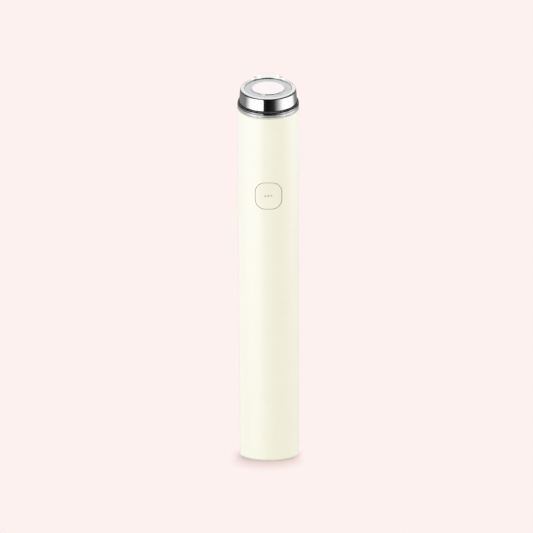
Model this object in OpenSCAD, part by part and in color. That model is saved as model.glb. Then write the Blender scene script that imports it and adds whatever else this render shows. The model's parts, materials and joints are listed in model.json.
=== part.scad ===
// Hand-held facial toning device: a slim tapered wand that stands on its foot,
// with a tilted electrode head around a lit lens and one push button on its front.
// Millimetres. +Z is up, the button faces -Y, and the origin is the centre of the foot.

/* [Body] */
// Outer radius of the body on the head seam
body_top_r = 13.5; // [13.4:0.05:13.7]
// Outer radius of the body at the foot
body_foot_r = 12.95; // [12.8:0.05:13.5]
// Height of the head seam on the body's axis
seam_z = 155; // [154:0.5:158]
// Radius of the straight bore of the body
bore_r = 11.3; // [11.3:0.02:11.36]
// Radius of the rounding round the foot
foot_round = 0.8; // [0.4:0.1:1.2]
// Gap under the body's rim, which the foot plate stands proud by
rim_gap = 0.3; // [0.1:0.05:0.5]

/* [Button] */
// Width and height of the button
button_w = 11.35; // [11:0.05:11.5]
// Corner radius of the button
button_corner = 4.1; // [3.5:0.1:4.5]
// Height of the button's centre
button_z = 118.1; // [116.1:0.2:119.1]
// Gap round the button
button_gap = 0.2; // [0.12:0.02:0.24]
// Depth of the dish in the button's face
button_dish = 0.45; // [0.2:0.05:0.55]
// Travel of the button
button_travel = 0.4; // [0.2:0.05:0.4]
// Spacing of the three indicator dots
dot_pitch = 1.33; // [1.2:0.01:1.5]
// Radius of an indicator dot
dot_r = 0.3; // [0.2:0.05:0.35]

/* [Head] */
// Tilt of the head towards the front
tilt = 14; // [12:0.5:15]
// Outer radius of the light ring and the flange
collar_r = 13.39; // [13.2:0.01:13.4]
// Height of the light ring
light_ring_h = 1.38; // [1.2:0.02:1.6]
// Height of the flange above the light ring
flange_h = 1.4; // [1.3:0.01:1.5]
// Height of the flange's bevel
bevel_h = 0.6; // [0.4:0.01:0.8]
// How far the bevel leans in
bevel_in = 0.21; // [0.1:0.01:0.3]
// Outer radius of the electrode wall at its foot
wall_foot_r = 12.6; // [12.5:0.05:12.7]
// Height of the black gasket under the electrode
gasket_h = 0.15; // [0.1:0.01:0.3]
// Outer radius of the electrode wall at its rim
wall_rim_r = 12.2; // [12.1:0.05:12.4]
// Height of the rim above the seam
rim_h = 8.8; // [8.7:0.02:8.9]
// Extra height of the crest at the back of the rim
crest_h = 2.5; // [1.5:0.05:3]
// Half width of the crest as an angle round the rim
crest_spread = 24; // [20:1:30]
// Inner radius of the rim
rim_inner_r = 10.29; // [10.25:0.02:10.4]
// Radius of the lens
lens_r = 6.85; // [6.75:0.05:7]
// Width of the bezel round the lens
bezel_w = 0.53; // [0.4:0.01:0.6]

/* [Hidden] */

$fn = 96;

ivory = [0.95, 0.94, 0.87];
ivory_shade = [0.90, 0.89, 0.82];
chrome = [0.80, 0.81, 0.83];
steel = [0.62, 0.63, 0.65];
frosted = [0.86, 0.86, 0.86];
satin_grey = [0.66, 0.67, 0.68];
gasket_black = [0.06, 0.06, 0.06];
lens_white = [1.0, 0.93, 0.92];
board_green = [0.07, 0.34, 0.20];
part_black = [0.10, 0.10, 0.11];
white_plastic = [0.93, 0.93, 0.92];
nickel = [0.72, 0.70, 0.65];
copper = [0.75, 0.45, 0.25];
sleeve_blue = [0.12, 0.30, 0.60];
foam_grey = [0.35, 0.35, 0.36];
wire_red = [0.75, 0.08, 0.06];
wire_black = [0.08, 0.08, 0.08];
polyimide = [0.80, 0.45, 0.10];

// Body
foot_plate_r = 11.7;
foot_plate_t = 1.6;
plug_r = 11.2;
button_r = body_foot_r + (body_top_r - body_foot_r) * button_z / seam_z;
flange_front = -9.2;
flange_back = -8.4;
cap_inner = -11.4;

// Port: a standard 16-pin receptacle, 8.94 x 3.16 outside and 8.34 x 2.56 inside
port_w = 8.94;
port_t = 3.16;
port_wall = 0.3;
port_z0 = 0.5;
port_z1 = 7.8;
screw_x = 8.3;

// Chassis: a channel that is open to the front, from the foot plate to the head
chan_r = 11.05;
chan_in = 9.45;
chan_y = -4;
chan_z0 = 6.2;
chan_z1 = 141;
ear_x = 7.95;

// Battery: a 14 x 50 cell
cell_r = 6.9;
cell_z0 = 15;
cell_z1 = 65;

// Main board
board_y0 = -5;
board_y1 = -4;
board_z0 = 69;
board_z1 = 135;
post_z = [76, 129];

// Switch, below the dots
switch_z = button_z - 3.4;
switch_w = 3.7;
plunger_r = 1.06;

// Motor
motor_y = 4;
motor_z0 = 103.7;
motor_z1 = 115;

// Head
head_shift = 0.4;
flange_top = light_ring_h + flange_h;
wall_z0 = flange_top + gasket_h;
lip_z = 7.6;
// The satin ring lies just below the rim, and the bezel stands proud of it
ring_z0 = rim_h - 1.45;
ring_z1 = rim_h - 0.15;
lens_z0 = ring_z0 - 0.6;
bezel_z0 = ring_z0 + 0.25;
bezel_z1 = rim_h + 0.2;
bezel_r = lens_r + 0.02 + bezel_w;

// Places its children on the head's tilted axis, with the seam at z = 0
module seam_frame() {
    translate([0, 0, seam_z]) rotate([tilt, 0, 0]) children();
}
module head_frame() {
    seam_frame() translate([0, head_shift, 0]) children();
}

// A square with round corners, drawn about its centre
module rounded_square(w, r) {
    square([w - 2 * r, w], center = true);
    square([w, w - 2 * r], center = true);
    for (i = [-1, 1], j = [-1, 1])
        translate([i * (w / 2 - r), j * (w / 2 - r)]) circle(r);
}

// A slot with round ends, drawn about its centre
module slot2d(w, t) {
    square([w - t, t], center = true);
    for (i = [-1, 1]) translate([i * (w - t) / 2, 0]) circle(t / 2);
}

// Extrudes a front view (x, z) from one depth to another along +Y
module front_extrude(y0, y1, z = 0) {
    translate([0, y1, z]) rotate([90, 0, 0])
        linear_extrude(y1 - y0) children();
}

// A tube swept along points, with a closed end at each
function unit3(v) = v / norm(v);
function sweep_dir(p, i) = unit3(
    (i < len(p) - 1 ? unit3(p[i + 1] - p[i]) : [0, 0, 0])
    + (i > 0 ? unit3(p[i] - p[i - 1]) : [0, 0, 0]));
module swept_wire(p, r, n = 8) {
    rings = [for (i = [0 : len(p) - 1])
        let (d = sweep_dir(p, i), u = unit3(cross(d, [1, 0, 0])), v = cross(u, d))
        for (k = [0 : n - 1])
            p[i] + r * (cos(360 * k / n) * u + sin(360 * k / n) * v)];
    m = len(p);
    polyhedron(points = rings, faces = concat(
        [[for (k = [0 : n - 1]) k]],
        [for (i = [0 : m - 2], k = [0 : n - 1])
            [i * n + k, (i + 1) * n + k,
             (i + 1) * n + (k + 1) % n, i * n + (k + 1) % n]],
        [[for (k = [n - 1 : -1 : 0]) (m - 1) * n + k]]));
}

// ---------------------------------------------------------------- body

foot_arc = [for (a = [-90 : 15 : 0])
    [body_foot_r - foot_round + foot_round * cos(a),
     rim_gap + foot_round + foot_round * sin(a)]];

module body_tube() {
    color(ivory) difference() {
        rotate_extrude() polygon(concat([[0, rim_gap]], foot_arc,
            [[body_top_r + (body_top_r - body_foot_r) * 10 / seam_z, seam_z + 10],
             [0, seam_z + 10]]));
        seam_frame() translate([-30, -30, 0]) cube([60, 60, 40]);
        translate([0, 0, -1]) cylinder(r = bore_r, h = seam_z + 20);
        translate([0, 0, -1]) cylinder(r = foot_plate_r + 0.1, h = foot_plate_t + 1);
        front_extrude(-20, 0, button_z)
            rounded_square(button_w + 2 * button_gap, button_corner + button_gap);
    }
}

module base_cap() {
    color(ivory_shade) difference() {
        union() {
            cylinder(r = foot_plate_r, h = foot_plate_t);
            translate([0, 0, 1]) difference() {
                cylinder(r = plug_r, h = 4.6);
                translate([0, 0, 0.3]) cylinder(r = 9.8, h = 10);
            }
            for (i = [-1, 1]) translate([i * screw_x, 0, 1]) cylinder(r = 1.9, h = 5.2);
        }
        translate([0, 0, -1]) linear_extrude(4) slot2d(9.2, 3.4);
        for (i = [-1, 1]) translate([i * screw_x, 0, 0]) {
            translate([0, 0, -1]) cylinder(r = 1.1, h = 12);
            translate([0, 0, -0.01]) cylinder(r1 = 2.01, r2 = 1.1, h = 0.96);
        }
    }
}

module base_screws() {
    color(steel) for (i = [-1, 1]) translate([i * screw_x, 0, 0]) difference() {
        union() {
            translate([0, 0, 0.1]) cylinder(r1 = 1.86, r2 = 1.0, h = 0.85);
            translate([0, 0, 0.5]) cylinder(r = 1.0, h = 11);
        }
        for (a = [0, 90]) rotate([0, 0, a]) translate([-1, -0.22, 0]) cube([2, 0.44, 0.6]);
    }
}

module usb_shell() {
    color(steel) difference() {
        translate([0, 0, port_z0]) linear_extrude(port_z1 - port_z0)
            slot2d(port_w, port_t);
        translate([0, 0, port_z0 - 1]) linear_extrude(port_z1 - port_z0 + 0.6)
            slot2d(port_w - 2 * port_wall, port_t - 2 * port_wall);
    }
}

module usb_tongue() {
    color(part_black) union() {
        translate([-3.35, -0.35, 1.3]) cube([6.7, 0.7, 5.5]);
        translate([0, 0, 6.2]) linear_extrude(1.15) slot2d(8.2, 2.4);
    }
}

module charge_board() {
    color(board_green) translate([-6.2, 1.6, 2]) cube([12.4, 1, 10.3]);
}

module charge_parts() {
    color(part_black) {
        translate([-1.5, 2.6, 7]) cube([3, 0.9, 3]);
        translate([-4.8, 2.6, 6.6]) cube([2.5, 1.2, 2]);
        translate([2.6, 2.6, 6.8]) cube([1.25, 0.8, 2]);
        translate([4.3, 2.6, 6.8]) cube([1.25, 0.8, 2]);
    }
}

module charge_leads() {
    for (i = [-1, 1]) color(i < 0 ? wire_black : wire_red)
        swept_wire([[i * 1.2, 1.1, 10.6], [i * 1.2, -0.5, 10.8], [i * 1.2, -3.4, 11.3],
            [i * 1.2, -6.4, 12.4], [i * 1.2, -7.8, 15], [i * 1.2, -7.9, 20],
            [i * 1.2, -7.9, 62], [i * 1.2, -7.6, 67], [i * 1.2, -6.7, 70.6],
            [i * 1.2, -5.6, 73]], 0.45);
}

// ------------------------------------------------------------- chassis

// A cross wall of the channel
module cross_wall(z, h) {
    translate([0, 0, z]) cylinder(r = 10.2, h = h);
}

module chassis() {
    color(white_plastic) difference() {
        union() {
            difference() {
                translate([0, 0, chan_z0]) cylinder(r = chan_r, h = chan_z1 - chan_z0);
                translate([0, 0, chan_z0 - 1]) cylinder(r = chan_in, h = chan_z1);
            }
            // bosses for the foot plate's screws
            for (i = [-1, 1]) translate([i * screw_x, 0, chan_z0]) cylinder(r = 1.9, h = 6);
            cross_wall(12.4, 1.2);
            // two saddles that carry the cell
            for (z = [22, 56]) difference() {
                cross_wall(z, 2);
                translate([0, 0, z - 1]) cylinder(r = 7.15, h = 4);
            }
            cross_wall(66.3, 1.3);
            // posts for the main board
            for (z = post_z) translate([0, 10, z]) rotate([90, 0, 0])
                cylinder(r = 2.1, h = 10 - chan_y);
            // seat and collar of the motor
            cross_wall(101.4, 2);
            translate([-5.2, 0.4, 106]) cube([10.4, 9.2, 4]);
            // ears for the head's screws
            for (i = [-1, 1]) translate([i * ear_x, 2, 139]) cylinder(r = 1.9, h = 2);
        }
        translate([-20, chan_y - 30, 0]) cube([40, 30, 200]);
        for (i = [-1, 1]) translate([i * screw_x, 0, 0]) cylinder(r = 1.02, h = 16);
        for (z = post_z) translate([0, 4, z]) rotate([90, 0, 0]) cylinder(r = 0.82, h = 20);
        translate([0, motor_y, 103.4]) cylinder(r = 3.75, h = 12);
        for (i = [-1, 1]) translate([i * ear_x, 2, 138]) cylinder(r = 0.85, h = 10);
    }
}

// ------------------------------------------------------------- battery

module battery_cell() {
    color(steel) union() {
        translate([0, 0, cell_z0]) cylinder(r = cell_r, h = cell_z1 - cell_z0 - 0.8);
        translate([0, 0, cell_z1 - 1]) cylinder(r = 2.9, h = 1);
    }
}

module battery_sleeve() {
    color(sleeve_blue) difference() {
        translate([0, 0, cell_z0 + 0.2]) cylinder(r = 7.05, h = cell_z1 - cell_z0 - 1);
        translate([0, 0, cell_z0 - 1]) cylinder(r = cell_r, h = cell_z1);
    }
}

module battery_pads() {
    color(foam_grey) {
        translate([0, 0, 13.65]) cylinder(r = 6.2, h = 1.1);
        translate([0, 0, 65.25]) cylinder(r = 6.2, h = 1.0);
    }
}

module battery_tabs() {
    color(nickel) {
        translate([-6, -7.6, 14.8]) cube([3, 10, 0.2]);
        translate([-1.5, -2, 65]) cube([7.5, 4, 0.2]);
        translate([3, -7.6, 65]) cube([3, 8, 0.2]);
    }
}

module battery_leads() {
    color(wire_black) swept_wire([[-4.5, -7.2, 15.2], [-4.5, -7.4, 18], [-4.5, -7.5, 24],
        [-4.5, -7.5, 60], [-4.5, -7.3, 67], [-4.5, -6.6, 70.6], [-4.5, -5.6, 73]], 0.5);
    color(wire_red) swept_wire([[4.5, -7.2, 65.4], [4.5, -7.3, 67.2],
        [4.5, -6.6, 70.6], [4.5, -5.6, 73]], 0.5);
}

// ---------------------------------------------------------- main board

module main_board() {
    color(board_green) difference() {
        translate([-9.4, board_y0, board_z0])
            cube([18.8, board_y1 - board_y0, board_z1 - board_z0]);
        for (z = post_z) translate([0, 0, z]) rotate([90, 0, 0]) cylinder(r = 1.05, h = 20);
    }
}

module board_screws() {
    color(steel) for (z = post_z) translate([0, 0, z]) rotate([90, 0, 0]) difference() {
        union() {
            translate([0, 0, -board_y0]) cylinder(r = 1.75, h = 1.2);
            translate([0, 0, -2]) cylinder(r = 0.8, h = 2 - board_y0 + 0.5);
        }
        for (a = [0, 90]) rotate([0, 0, a]) translate([-0.9, -0.2, -board_y0 + 0.7])
            cube([1.8, 0.4, 2]);
    }
}

module board_chips() {
    color(part_black) {
        translate([-2.5, board_y1, 92]) cube([5, 0.9, 5]);
        translate([-7, board_y1, 93]) cube([3, 0.9, 3]);
        translate([4, board_y1, 93]) cube([3, 1.1, 3]);
        translate([-7.4, board_y1, 84]) cube([3.2, 1.5, 4]);
        translate([4.2, board_y1, 84]) cube([3.2, 1.5, 2]);
        translate([-6, board_y0 - 0.8, 98]) cube([1.6, 0.8, 0.8]);
        translate([-3, board_y0 - 0.8, 98]) cube([1.6, 0.8, 0.8]);
        translate([3, board_y0 - 1, 96]) cube([3, 1, 3]);
        translate([-6.5, board_y0 - 1, 86]) cube([4.4, 1, 4.4]);
    }
}

module boost_inductor() {
    color(copper) translate([0, board_y1, 85.5]) rotate([-90, 0, 0]) union() {
        cylinder(r = 3.6, h = 0.8);
        cylinder(r = 2.6, h = 3.8);
        translate([0, 0, 3.0]) cylinder(r = 3.6, h = 0.8);
    }
}

module ribbon_socket() {
    color(white_plastic) difference() {
        translate([-5, board_y1, 132]) cube([10, 2, 2.6]);
        translate([-4.1, board_y1 + 0.8, 133]) cube([8.2, 0.5, 3]);
    }
}

module indicator_leds() {
    color(white_plastic) for (i = [-1, 0, 1])
        translate([i * dot_pitch - 0.4, board_y0 - 0.6, button_z - 0.4]) cube([0.8, 0.6, 0.8]);
}

module tact_switch() {
    color(part_black) difference() {
        translate([-switch_w / 2, -7, switch_z - switch_w / 2])
            cube([switch_w, 7 + board_y0, switch_w]);
        translate([0, -5.2, switch_z]) rotate([90, 0, 0]) cylinder(r = 1.15, h = 4);
    }
}

module switch_plunger() {
    color(white_plastic) translate([0, -5.7, switch_z]) rotate([90, 0, 0])
        cylinder(r = plunger_r, h = 1.9);
}

// -------------------------------------------------------------- button

module button_cap() {
    color(ivory) difference() {
        union() {
            intersection() {
                front_extrude(-20, flange_back, button_z)
                    rounded_square(button_w, button_corner);
                cylinder(r1 = body_foot_r, r2 = body_top_r, h = seam_z);
            }
            front_extrude(flange_front, flange_back, button_z) rounded_square(12.8, 3.5);
        }
        translate([0, -button_r - 24 + button_dish, button_z]) sphere(r = 24, $fn = 120);
        difference() {
            front_extrude(cap_inner, flange_back + 1, button_z) rounded_square(8.6, 2);
            translate([0, flange_back, switch_z]) rotate([90, 0, 0]) cylinder(r = 1.2, h = 4);
        }
        for (i = [-1, 0, 1]) translate([i * dot_pitch, -9, button_z])
            rotate([90, 0, 0]) cylinder(r = dot_r + 0.02, h = 8);
    }
    color(ivory) translate([0, -7.62, switch_z]) rotate([90, 0, 0])
        cylinder(r = 1.2, h = 1);
}

module button_light_guide() {
    color(white_plastic) union() {
        translate([-2.3, cap_inner, button_z - 0.8]) cube([4.6, -6.2 - cap_inner, 1.6]);
        for (i = [-1, 0, 1]) translate([i * dot_pitch, cap_inner + 0.2, button_z])
            rotate([90, 0, 0])
                cylinder(r = dot_r, h = button_r - button_dish + cap_inner + 0.15
                    - (i == 0 ? 0 : 0.1));
    }
}

module button_gasket() {
    color(foam_grey) front_extrude(-7.95, board_y0, button_z) difference() {
        rounded_square(13, 3.4);
        rounded_square(10.6, 2.2);
    }
}

// --------------------------------------------------------------- motor

module motor_can() {
    color(steel) translate([0, motor_y, 0]) difference() {
        translate([0, 0, motor_z0]) cylinder(r = 3, h = motor_z1 - motor_z0);
        translate([0, 0, 109.8]) cylinder(r = 0.45, h = 10);
    }
}

module motor_sleeve() {
    color(foam_grey) translate([0, motor_y, 0]) difference() {
        translate([0, 0, 103.45]) cylinder(r = 3.7, h = 9);
        translate([0, 0, motor_z0]) cylinder(r = 3.02, h = 20);
    }
}

module motor_shaft() {
    color(steel) translate([0, motor_y, 110]) cylinder(r = 0.4, h = 10);
}

module eccentric_weight() {
    color(nickel) translate([0, motor_y, 116]) difference() {
        union() {
            cylinder(r = 1.1, h = 3.6);
            difference() {
                cylinder(r = 2.6, h = 3.6);
                translate([-4, 0, -1]) cube([8, 4, 6]);
            }
        }
        translate([0, 0, -1]) cylinder(r = 0.4, h = 6);
    }
}

// ---------------------------------------------------------------- head

module head_carrier() {
    color(part_black) difference() {
        union() {
            difference() {
                union() {
                    difference() {
                        translate([0, 0, chan_z1]) cylinder(r = plug_r, h = 25);
                        seam_frame() translate([-30, -30, 0]) cube([60, 60, 40]);
                    }
                    head_frame() cylinder(r = 10.9, h = 2.5);
                    head_frame() translate([0, 0, -1]) cylinder(r = 10.2, h = 1 + ring_z0);
                }
                translate([0, 0, chan_z1 - 1]) cylinder(r = 9, h = 7);
                head_frame() translate([0, 0, -10.5]) cylinder(r = 6.2, h = 20);
                head_frame() translate([0, 0, 2.6]) cylinder(r = 9, h = 20);
            }
            for (i = [-1, 1]) translate([i * ear_x, 2, chan_z1]) cylinder(r = 1.7, h = 6.5);
        }
        // groove for the o-ring
        difference() {
            translate([0, 0, 145]) cylinder(r = 20, h = 1.2);
            translate([0, 0, 144]) cylinder(r = 10.25, h = 4);
        }
        // ways through the collar for the contacts
        head_frame() translate([-20, -1.5, 3.5]) cube([40, 3, 10]);
        for (i = [-1, 1]) translate([i * ear_x, 2, chan_z1 - 1]) cylinder(r = 0.82, h = 8);
    }
}

module carrier_o_ring() {
    color(gasket_black) translate([0, 0, 145.6]) rotate_extrude()
        translate([10.76, 0]) circle(r = 0.49, $fn = 32);
}

module carrier_screws() {
    color(steel) for (i = [-1, 1]) translate([i * ear_x, 2, 0]) difference() {
        union() {
            translate([0, 0, 138]) cylinder(r = 1.2, h = 1);
            translate([0, 0, 138.5]) cylinder(r = 0.8, h = 8.5);
        }
        for (a = [0, 90]) rotate([0, 0, a]) translate([-0.7, -0.15, 137]) cube([1.4, 0.3, 1.5]);
    }
}

module light_ring() {
    color(frosted) head_frame() difference() {
        cylinder(r = collar_r, h = light_ring_h);
        translate([0, 0, -1]) cylinder(r = 11.2, h = 4);
    }
}

module flange_ring() {
    color(chrome) head_frame() rotate_extrude() polygon(concat(
        [[11.2, light_ring_h], [collar_r - 0.12, light_ring_h],
         [collar_r, light_ring_h + 0.12]],
        [[collar_r, flange_top - bevel_h], [collar_r - bevel_in, flange_top]],
        [[11.2, flange_top]]));
}

// Black gasket under the electrode, with a thin foot that covers the flange's top
module head_gasket() {
    color(gasket_black) head_frame() difference() {
        translate([0, 0, flange_top]) union() {
            cylinder(r = collar_r - bevel_in - 0.1, h = 0.1);
            cylinder(r = wall_foot_r + 0.12, h = gasket_h);
        }
        cylinder(r = 11.3, h = 8);
    }
}

// Height of the crest at an angle from the back of the rim
function crest(a) = crest_h * exp(-0.5 * pow(a / crest_spread, 2));

// Section of the electrode at an angle from the back: up the wall and the narrow band
// above it that leans in, over the outer rounding, down the face to the inner rounding,
// and down inside
function electrode_section(a) = let (
    c = crest(a), w = c / crest_h,
    e = 0.2 + 0.08 * w, f = 0.14 + 2.26 * w,
    b = 0.5 - 0.48 * w, lean = 23 * (1 - w),
    ox = wall_rim_r - e * cos(lean) - b * sin(lean), oz = rim_h - e + c,
    ix = rim_inner_r + f, iz = rim_h - 0.14 - 0.51 * w,
    s = atan2(oz - iz, ox - ix) + asin((e - f) / norm([ox - ix, oz - iz])))
    concat(
        [[wall_foot_r - 0.12, wall_z0], [wall_foot_r, wall_z0 + 0.12],
            [wall_rim_r, oz + e * sin(lean) - b * cos(lean)]],
        [for (t = [0 : 0.25 : 1]) [ox + e * cos(lean + t * (90 + s - lean)),
            oz + e * sin(lean + t * (90 + s - lean))]],
        [for (t = [1 : -0.25 : 0]) [ix - f * cos(t * (90 - s)), iz + f * sin(t * (90 - s))]],
        [[rim_inner_r, lip_z], [11.3, lip_z], [11.3, wall_z0]]);

module electrode_head() {
    n = 96;
    m = len(electrode_section(0));
    pts = [for (i = [0 : n - 1])
        let (a = 360 * i / n, d = a > 180 ? a - 360 : a)
        for (q = electrode_section(d)) [q[0] * sin(a), q[0] * cos(a), q[1]]];
    color(chrome) head_frame() polyhedron(points = pts, faces =
        [for (i = [0 : n - 1], k = [0 : m - 1])
            let (j = (i + 1) % n, l = (k + 1) % m)
            [i * m + k, i * m + l, j * m + l, j * m + k]]);
}

module inner_ring() {
    color(satin_grey) head_frame() difference() {
        translate([0, 0, ring_z0]) cylinder(r = rim_inner_r - 0.09, h = ring_z1 - ring_z0);
        cylinder(r = bezel_r + 0.02, h = 12);
    }
}

module lens_gasket() {
    color(gasket_black) head_frame() difference() {
        translate([0, 0, ring_z0]) cylinder(r = bezel_r, h = bezel_z0 - ring_z0);
        cylinder(r = lens_r + 0.02, h = 12);
    }
}

// Bright ring round the lens, with a flank that leans in where it stands proud of the
// satin ring
module lens_bezel() {
    color(chrome) head_frame() rotate_extrude() polygon([
        [lens_r + 0.02, bezel_z0], [bezel_r, bezel_z0], [bezel_r, ring_z1 - 0.02],
        [bezel_r - 0.08, bezel_z1 - 0.05], [bezel_r - 0.15, bezel_z1],
        [lens_r + 0.1, bezel_z1], [lens_r + 0.02, bezel_z1 - 0.08]]);
}

module lens() {
    color(lens_white) head_frame() rotate_extrude() polygon(concat(
        [[0, lens_z0], [8.6, lens_z0], [8.6, ring_z0], [lens_r, ring_z0],
         [lens_r, bezel_z1 - 0.16]],
        [for (t = [0 : 10]) let (x = (lens_r - 0.12) * (1 - t / 10))
            [x, bezel_z1 - 0.04 + 0.18 * (1 - pow(x / lens_r, 2))]]));
}

module reflector() {
    color(white_plastic) head_frame() rotate_extrude() polygon([
        [5.2, 3.65], [8.9, 3.65], [8.9, lens_z0 - 0.05], [8.1, lens_z0 - 0.05], [5.2, 4.4]]);
}

module head_board() {
    color(white_plastic) head_frame() translate([0, 0, 2.6]) cylinder(r = 8.8, h = 1);
}

module head_leds() {
    color([0.98, 0.90, 0.55]) head_frame() {
        translate([-1.2, -1.2, 3.6]) cube([2.4, 2.4, 0.8]);
        for (a = [0 : 90 : 270]) rotate([0, 0, a + 45]) translate([2.3, -1.1, 3.6])
            cube([2.2, 2.2, 0.8]);
    }
}

module electrode_contacts() {
    color(copper) head_frame() for (i = [0, 1]) rotate([0, 0, i * 180]) {
        union() {
            translate([9.1, -1.2, 3.75]) cube([2.1, 2.4, 0.2]);
            translate([11, -1.2, 3.75]) cube([0.2, 2.4, 3.2]);
        }
    }
}

// Ribbon from the main board's socket to the underside of the head board
ribbon_path = [[-2.95, 133.3], [-2.95, 137], [-2.6, 140], [-1.7, 143.5], [-1.4, 147],
    [-1.8, 150.5], [-2.2, 153.5], [-2.5, 156.4]];
function ribbon_side(s) = [for (i = [0 : len(ribbon_path) - 1])
    let (a = ribbon_path[max(i - 1, 0)], b = ribbon_path[min(i + 1, len(ribbon_path) - 1)],
         d = (b - a) / norm(b - a))
    ribbon_path[i] + s * 0.12 * [d[1], -d[0]]];

module head_ribbon() {
    f = ribbon_side(1);
    b = ribbon_side(-1);
    color(polyimide) rotate([90, 0, 90]) translate([0, 0, -4]) linear_extrude(8)
        polygon(concat(f, [for (i = [len(b) - 1 : -1 : 0]) b[i]]));
}

body_tube();
base_cap();
base_screws();
usb_shell();
usb_tongue();
charge_board();
charge_parts();
charge_leads();
chassis();
battery_cell();
battery_sleeve();
battery_pads();
battery_tabs();
battery_leads();
main_board();
board_screws();
board_chips();
boost_inductor();
ribbon_socket();
indicator_leds();
tact_switch();
switch_plunger();
button_cap();
button_light_guide();
button_gasket();
motor_can();
motor_sleeve();
motor_shaft();
eccentric_weight();
head_carrier();
carrier_o_ring();
carrier_screws();
light_ring();
flange_ring();
head_gasket();
electrode_head();
inner_ring();
lens_gasket();
lens_bezel();
lens();
reflector();
head_board();
head_leds();
electrode_contacts();
head_ribbon();
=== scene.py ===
# Facial toning device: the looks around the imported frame. Metres, +Z up, the button faces -Y.
import json
import math
import bpy
from mathutils import Matrix, Vector
from mathutils.geometry import delaunay_2d_cdt

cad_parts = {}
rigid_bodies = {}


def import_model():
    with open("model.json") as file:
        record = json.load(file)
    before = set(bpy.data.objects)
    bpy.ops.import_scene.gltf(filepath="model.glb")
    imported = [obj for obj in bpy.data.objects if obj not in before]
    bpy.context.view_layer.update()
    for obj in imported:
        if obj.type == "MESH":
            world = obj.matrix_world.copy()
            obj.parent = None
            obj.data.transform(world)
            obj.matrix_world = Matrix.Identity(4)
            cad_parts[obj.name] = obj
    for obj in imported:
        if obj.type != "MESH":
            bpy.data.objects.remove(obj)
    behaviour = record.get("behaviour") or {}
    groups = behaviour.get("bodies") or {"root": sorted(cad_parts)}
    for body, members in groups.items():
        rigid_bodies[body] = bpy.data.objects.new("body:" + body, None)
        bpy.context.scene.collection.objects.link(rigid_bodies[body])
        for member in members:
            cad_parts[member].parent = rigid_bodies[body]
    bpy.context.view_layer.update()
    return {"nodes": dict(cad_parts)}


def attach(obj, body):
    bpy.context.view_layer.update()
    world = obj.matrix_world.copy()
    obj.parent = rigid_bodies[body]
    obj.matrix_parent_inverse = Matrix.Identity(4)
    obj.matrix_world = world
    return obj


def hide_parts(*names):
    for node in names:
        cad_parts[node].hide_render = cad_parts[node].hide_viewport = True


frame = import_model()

MM = 0.001
PI = math.pi

# ------------------------------------------------------------------ sizes, in mm, as in the frame
R_FOOT, R_TOP, SEAM_Z, BORE_R = 12.95, 13.5, 155.0, 11.3
TILT, SHIFT = math.radians(14.0), 0.4
RIM_GAP, FOOT_ROUND, FOOT_PLATE_R, FOOT_PLATE_T = 0.3, 0.8, 11.7, 1.6
BTN_Z, BTN_W, BTN_CORNER, BTN_GAP, BTN_DISH = 118.1, 11.35, 4.1, 0.2, 0.45
DOT_PITCH, DOT_R = 1.33, 0.3
COLLAR_R, LIGHT_H, FLANGE_TOP, GASKET_H = 13.39, 1.38, 2.78, 0.15
BEVEL_H, BEVEL_IN = 0.6, 0.21
WALL_FOOT_R, WALL_RIM_R, RIM_H, RIM_IN = 12.6, 12.2, 8.8, 10.29
CREST_H, CREST_SPREAD, LIP_Z = 2.5, 24.0, 7.6
LENS_R = 6.85
RING_Z0, RING_Z1 = RIM_H - 1.45, RIM_H - 0.15
BEZEL_R, BEZEL_Z0, BEZEL_Z1 = LENS_R + 0.55, RING_Z0 + 0.25, RIM_H + 0.2

HEAD = (Matrix.Translation((0, 0, SEAM_Z * MM)) @ Matrix.Rotation(TILT, 4, "X")
        @ Matrix.Translation((0, SHIFT * MM, 0)))
UPRIGHT = Matrix.Identity(4)


def body_r(z):
    return R_FOOT + (R_TOP - R_FOOT) * z / SEAM_Z


# ------------------------------------------------------------------ node helpers
def new_material(name):
    m = bpy.data.materials.new(name)
    m.use_nodes = True
    nt = m.node_tree
    nt.nodes.clear()
    out = nt.nodes.new("ShaderNodeOutputMaterial")
    bsdf = nt.nodes.new("ShaderNodeBsdfPrincipled")
    nt.links.new(bsdf.outputs["BSDF"], out.inputs["Surface"])
    return m, nt, bsdf


def add(nt, kind, **props):
    n = nt.nodes.new(kind)
    for k, v in props.items():
        setattr(n, k, v)
    return n


def noise(nt, coord, scale, detail=2.0, rough=0.5, stretch=None):
    n = add(nt, "ShaderNodeTexNoise")
    n.inputs["Scale"].default_value = scale
    n.inputs["Detail"].default_value = detail
    n.inputs["Roughness"].default_value = rough
    if stretch:
        mp = add(nt, "ShaderNodeMapping")
        mp.inputs["Scale"].default_value = stretch
        nt.links.new(coord, mp.inputs["Vector"])
        coord = mp.outputs["Vector"]
    nt.links.new(coord, n.inputs["Vector"])
    return n


def ramp(nt, value, lo, hi, a, b):
    """Maps a value between lo and hi to the span a to b."""
    mr = add(nt, "ShaderNodeMapRange")
    mr.inputs["From Min"].default_value = lo
    mr.inputs["From Max"].default_value = hi
    mr.inputs["To Min"].default_value = a
    mr.inputs["To Max"].default_value = b
    nt.links.new(value, mr.inputs["Value"])
    return mr.outputs["Result"]


def two_tone(nt, value, c0, c1, p0=0.3, p1=0.7):
    cr = add(nt, "ShaderNodeValToRGB")
    e = cr.color_ramp.elements
    e[0].position, e[1].position = p0, p1
    e[0].color, e[1].color = (*c0, 1), (*c1, 1)
    nt.links.new(value, cr.inputs["Fac"])
    return cr.outputs["Color"]


def bump(nt, bsdf, height, strength, distance):
    b = add(nt, "ShaderNodeBump")
    b.inputs["Strength"].default_value = strength
    b.inputs["Distance"].default_value = distance
    nt.links.new(height, b.inputs["Height"])
    nt.links.new(b.outputs["Normal"], bsdf.inputs["Normal"])


def coords(nt):
    return add(nt, "ShaderNodeTexCoord").outputs["Object"]


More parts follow.
